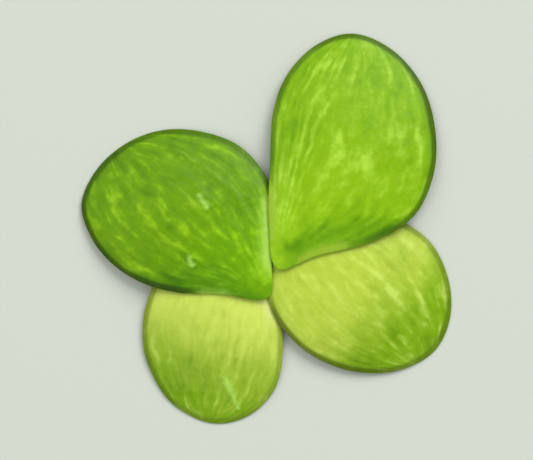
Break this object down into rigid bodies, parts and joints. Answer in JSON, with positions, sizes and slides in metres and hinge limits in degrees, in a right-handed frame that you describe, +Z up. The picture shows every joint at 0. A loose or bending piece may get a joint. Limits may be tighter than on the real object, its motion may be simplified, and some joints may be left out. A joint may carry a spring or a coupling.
{
  "type": "giant duckweed",
  "caption": "Floating water plant: thin rounded fronds, domed a little, that overlap where short stalks join them, with a tuft of fine roots under each, lying on a surface.",
  "frame": {"origin": "middle of the colony's outline, on the surface that it lies on", "axes": "+Z up from the fronds' upper sides, +Y towards the tip of the longest frond, +X to the right of that as seen from above"},
  "size_m": [0.0148, 0.0156, 0.0011],
  "materials": {
    "frond_left": "satin",
    "frond_top": "satin",
    "frond_right": "satin",
    "frond_bottom": "satin",
    "stalk": "moist",
    "root": "moist"
  },
  "bodies": {
    "root": {"frond_left": "frond_left", "frond_top": "frond_top", "frond_right": "frond_right", "frond_bottom": "frond_bottom", "stalk_left": "stalk", "stalk_right": "stalk", "stalk_bottom": "stalk", "roots_left": "root", "roots_top": "root", "roots_right": "root", "roots_bottom": "root"}
  },
  "joints": []
}
